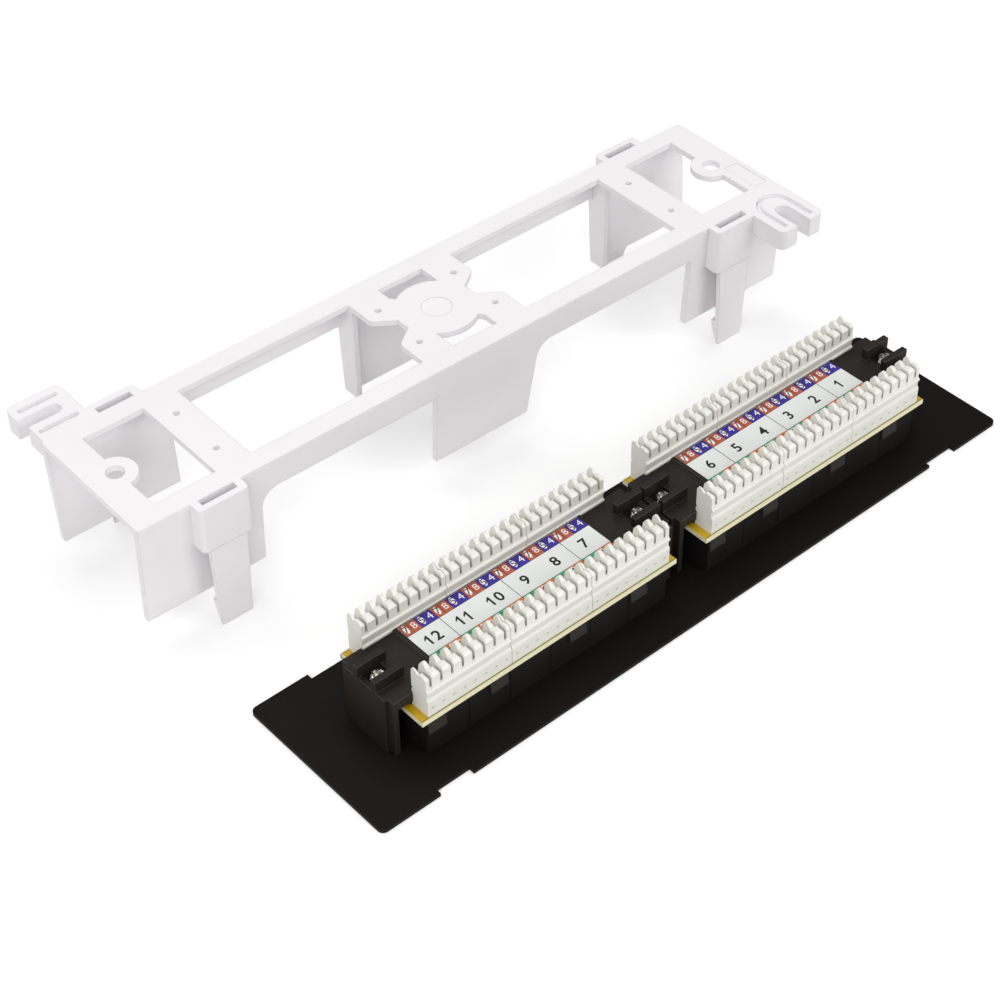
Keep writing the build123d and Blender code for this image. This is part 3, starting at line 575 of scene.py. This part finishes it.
# %% [markdown]
# ### Flakes
# Every patch of ink starts as one flat face: a few corners, or a circle drawn out to an oval. An
# extrusion pulls it up to the ink's thickness, which keeps it a closed solid.

# %% Flakes of ink
OVAL_STEPS = 20


def thicken(bm, patch, color):
    """Pulls a flat face up to the ink's thickness and gives the flake its ink."""
    made = bmesh.ops.extrude_face_region(bm, geom=[patch], use_keep_orig=True)["geom"]
    top = [part for part in made if isinstance(part, bmesh.types.BMVert)]
    bmesh.ops.translate(bm, vec=(0, 0, INK_THICKNESS), verts=top)
    faces = list({face for vert in (*top, *patch.verts) for face in vert.link_faces})
    bmesh.ops.recalc_face_normals(bm, faces=faces)
    for face in faces:
        face.material_index = ink_order.index(color)


def flake(bm, corners, z, color):
    """A flake with the given corners."""
    thicken(bm, bm.faces.new([bm.verts.new((x, y, z)) for x, y in corners]), color)


def bar(bm, x0, x1, y0, y1, z, color):
    """A flake with square corners."""
    flake(bm, ((x0, y0), (x1, y0), (x1, y1), (x0, y1)), z, color)


def oval(bm, x, y, z, color):
    """The pale oval under the digit of a striped wire."""
    stretch = Matrix.Diagonal((OVAL_HALF_WIDTH, OVAL_HALF_HEIGHT, 1, 1))
    ring = bmesh.ops.create_circle(bm, cap_ends=True, segments=OVAL_STEPS, radius=1,
                                   matrix=Matrix.Translation((x, y, z)) @ stretch)
    thicken(bm, ring["verts"][0].link_faces[0], color)


print("ink thickness:", round(INK_THICKNESS / MM, 3), "mm")

# %% [markdown]
# ### Digits
# A digit is text turned into a mesh, which stays sharp at any size, and is then scaled and moved to
# its place. The numeral one is a flake of its own, a stem with a flag, as sign writers draw it.

# %% Digits
ONE_STEM = 0.085
ONE_FLAG_REACH = 0.3
ONE_FLAG_TOP = 0.42
ONE_FLAG_DROP = 1.9
ONE_FLAG_ROOT = 0.46
ONE_CROWN = 0.3
CURVE_STEPS = 3


def write_one(bm, height, x, y, z, color):
    """The numeral one, as a stem and a flag in one outline."""
    stem = ONE_STEM * height
    up = height / 2
    flag_x = x - ONE_FLAG_REACH * height
    flag_y = y + ONE_FLAG_TOP * up
    flake(bm, (
        (x - stem, y - up), (x + stem, y - up), (x + stem, y + up), (x - ONE_CROWN * stem, y + up),
        (flag_x, flag_y), (flag_x, flag_y - ONE_FLAG_DROP * stem), (x - stem, y + ONE_FLAG_ROOT * up),
    ), z, color)


def write(bm, digit, height, x, y, z, color, weight=0.0):
    """Adds one digit, centred on a point and scaled to a height, as a mesh of one ink."""
    if digit == "1":
        write_one(bm, height, x, y, z, color)
        return
    curve = bpy.data.curves.new("writing", "FONT")
    curve.body = digit
    curve.size = height
    curve.offset = weight
    curve.resolution_u = CURVE_STEPS
    curve.extrude = INK_THICKNESS / 2
    holder = bpy.data.objects.new("writing", curve)
    bpy.context.scene.collection.objects.link(holder)
    bpy.context.view_layer.update()
    mesh = bpy.data.meshes.new_from_object(holder)
    xs, ys, zs = zip(*(vert.co for vert in mesh.vertices))
    scale = height / (max(ys) - min(ys))
    middle = Vector(((min(xs) + max(xs)) / 2, (min(ys) + max(ys)) / 2, min(zs)))
    mesh.transform(Matrix.Translation((x, y, z)) @ Matrix.Diagonal((scale, scale, 1, 1))
                   @ Matrix.Translation(-middle))
    for polygon in mesh.polygons:
        polygon.material_index = ink_order.index(color)
    bm.from_mesh(mesh)
    bpy.data.objects.remove(holder)
    bpy.data.curves.remove(curve)
    bpy.data.meshes.remove(mesh)


print("digits:", round(DIGIT_HEIGHT / MM, 2), "and", round(NUMERAL_HEIGHT / MM, 2), "mm high")

# %% [markdown]
# ### Printing a label
# Each field is as wide as four cells. The cells are printed first, then the port number, then the
# line to the next field where the real label has one. All of it becomes two pieces, the cells and
# the numbers, which ride on the body that the label belongs to.

# %% Print both labels
REAR_CELLS = (("brown", True, "7"), ("brown", False, "8"), ("blue", True, "5"), ("blue", False, "4"))
FRONT_CELLS = (("green", True, "3"), ("green", False, "6"), ("orange", True, "1"), ("orange", False, "2"))
LINED_FIELDS = (0, 2, 4)


def print_cell(bm, middle, row, color, striped, digit):
    """One colour cell, with its oval if the wire is striped, and its digit."""
    half = (CELL - LINE_WIDTH) / 2
    low, high = sorted((row * (STRIP_INNER[row] + LINE_WIDTH / 2), row * (STRIP_OUTER - LINE_WIDTH)))
    bar(bm, middle - half, middle + half, low, high, CELL_LAYER, color)
    if striped:
        oval(bm, middle, DIGIT_MIDDLE[row], OVAL_LAYER, "white")
    digit_ink = "dark" if striped else "white"
    write(bm, digit, DIGIT_HEIGHT, middle, DIGIT_MIDDLE[row], DIGIT_LAYER, digit_ink)


def print_numeral(bm, text, middle):
    """A port number of one or two digits in its field."""
    for n, digit in enumerate(text):
        x = middle + NUMERAL_SHIFT[0] + (n - (len(text) - 1) / 2) * NUMERAL_STEP
        write(bm, digit, NUMERAL_HEIGHT, x, NUMERAL_SHIFT[1], GROUND_LAYER, "dark", NUMERAL_WEIGHT)


def finish_piece(name, bm, materials):
    """Turns a bmesh into a piece that rides on the root body."""
    mesh = bpy.data.meshes.new(name)
    bm.normal_update()
    bm.to_mesh(mesh)
    bm.free()
    for material in materials:
        mesh.materials.append(material)
    piece = bpy.data.objects.new(name, mesh)
    bpy.context.scene.collection.objects.link(piece)
    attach(piece, "root")
    print(name, "faces:", len(mesh.polygons))


def print_label(name, centre, numerals):
    cells = bmesh.new()
    numbers = bmesh.new()
    reach = PORTS / 2 * FIELD
    for row in (REAR, FRONT):
        low, high = sorted((row * STRIP_INNER[row], row * STRIP_OUTER))
        bar(cells, centre - reach, centre + reach, low, high, GROUND_LAYER, "maroon")
    for port, text in enumerate(numerals):
        start = centre - reach + port * FIELD
        for row, strip in ((REAR, REAR_CELLS), (FRONT, FRONT_CELLS)):
            for place, (color, striped, digit) in enumerate(strip):
                print_cell(cells, start + (place + 0.5) * CELL, row, color, striped, digit)
        print_numeral(numbers, text, start + FIELD / 2)
        if port in LINED_FIELDS:
            line = start + FIELD
            bar(cells, line - LINE_WIDTH / 2, line + LINE_WIDTH / 2,
                -STRIP_INNER[FRONT], STRIP_INNER[REAR], GROUND_LAYER, "dark")
    materials = [inks[color] for color in ink_order]
    finish_piece(f"label_cells_{name}", cells, materials)
    finish_piece(f"label_numbers_{name}", numbers, materials)


print_label("left", -MODULE_CENTRE, ("12", "11", "10", "9", "8", "7"))
print_label("right", MODULE_CENTRE, ("6", "5", "4", "3", "2", "1"))

# %% [markdown]
# ## Studio
# The picture has a pure white ground and hardly any shadow. The floor is a pale, dull disc. To the
# camera, and in reflections, it also glows a little, so that its lit part reaches white while the
# shadow under the object stays. It ends where the lamps light it too little, so that the white world
# shows beyond it.

# %% Floor
FLOOR_RADIUS = 1.0
FLOOR_STEPS = 96
FLOOR_DROP = 0.1 * MM
FLOOR_TONES = ((0.88, 0.88, 0.88, 1), (0.86, 0.86, 0.86, 1))
FLOOR_GLOW = 0.24


def make_floor():
    bm = bmesh.new()
    bmesh.ops.create_circle(bm, cap_ends=True, segments=FLOOR_STEPS, radius=FLOOR_RADIUS)
    mesh = bpy.data.meshes.new("floor")
    bm.to_mesh(mesh)
    bm.free()
    floor = bpy.data.objects.new("floor", mesh)
    floor.location = (0, 0, -FLOOR_DROP)
    bpy.context.scene.collection.objects.link(floor)
    material, tree, output, where = new_material("pale_floor")
    speck = add_node(tree, "ShaderNodeTexNoise", {"Vector": where, "Scale": 30.0})
    diffuse = add_node(tree, "ShaderNodeBsdfDiffuse", {
        "Color": blend(tree, speck.outputs["Fac"], *FLOOR_TONES),
    })
    path = add_node(tree, "ShaderNodeLightPath").outputs
    seen = strongest(tree, path["Is Camera Ray"], path["Is Glossy Ray"])
    glow = add_node(tree, "ShaderNodeEmission", {"Strength": every(tree, seen, FLOOR_GLOW)})
    both = add_node(tree, "ShaderNodeAddShader", {0: diffuse.outputs[0], 1: glow.outputs[0]})
    tree.links.new(both.outputs[0], output.inputs["Surface"])
    mesh.materials.append(material)
    print("floor radius:", FLOOR_RADIUS, "m")


make_floor()

# %% [markdown]
# ### World
# The world is white. It lights the object softly from all sides at well under full strength, and
# only the camera sees it at 1, which is white.

# %% World
WORLD_LIGHT = 0.38
WORLD_SEEN = 1.0


def make_world():
    world = bpy.data.worlds.new("studio")
    world.use_nodes = True
    bpy.context.scene.world = world
    tree = world.node_tree
    tree.nodes.clear()
    output = tree.nodes.new("ShaderNodeOutputWorld")
    seen = add_node(tree, "ShaderNodeLightPath").outputs["Is Camera Ray"]
    sky = add_node(tree, "ShaderNodeBackground", {
        "Color": (1, 1, 1, 1), "Strength": ramp(tree, seen, 0.0, 1.0, WORLD_LIGHT, WORLD_SEEN),
    })
    tree.links.new(sky.outputs[0], output.inputs["Surface"])
    print("world nodes:", len(tree.nodes))


make_world()

# %% [markdown]
# ### Lamps
# Three soft square lamps stand to the left, to the right and overhead. Large lamps give the pale,
# even light of a product picture. Their level is plain: a colour renders about as it is written.

# %% Lamps
LAMP_AIM = Vector((0, 0.04, 0))


def lamp(name, place, size, power):
    """A square soft lamp that faces the object."""
    data = bpy.data.lights.new(name, "AREA")
    data.size = size
    data.energy = power
    made = bpy.data.objects.new(name, data)
    made.location = place
    made.rotation_euler = (LAMP_AIM - Vector(place)).to_track_quat("-Z", "Y").to_euler()
    bpy.context.scene.collection.objects.link(made)


lamp("key", (-1.0, -0.7, 1.1), 1.0, 9.0)
lamp("fill", (0.6, -1.3, 0.8), 1.0, 8.5)
lamp("overhead", (0.0, 0.5, 1.4), 1.2, 9.0)
